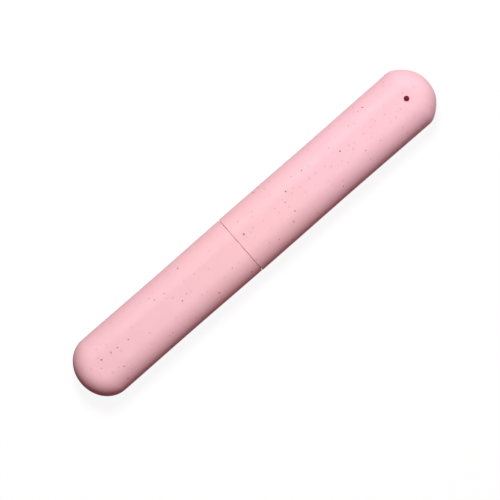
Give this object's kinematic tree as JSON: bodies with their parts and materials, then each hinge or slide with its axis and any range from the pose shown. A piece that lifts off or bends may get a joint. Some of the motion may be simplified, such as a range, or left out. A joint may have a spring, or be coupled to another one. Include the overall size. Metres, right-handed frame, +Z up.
{
  "type": "toothbrush travel case",
  "caption": "Capsule-shaped travel case for a toothbrush: a flattened-oval tube with rounded ends, whose long cap pulls off a necked base and has a small air hole near its end.",
  "frame": {"origin": "under the middle of the closed case, on the surface that its broad face lies on", "axes": "+X along the case towards the cap's closed end, +Y across the broad face, +Z up out of the broad face with the air hole"},
  "size_m": [0.21, 0.0304, 0.023],
  "materials": {
    "speckled_plastic": "satin pink plastic filled with plant fibre, with fine scattered dark reddish specks"
  },
  "bodies": {
    "base": {"base_shell": "speckled_plastic"},
    "cap": {"cap_shell": "speckled_plastic"}
  },
  "joints": [
    {"name": "cap_pull", "type": "slide", "parent": "base", "child": "cap", "axis": [1, 0, 0], "range_m": [0, 0.12]}
  ]
}
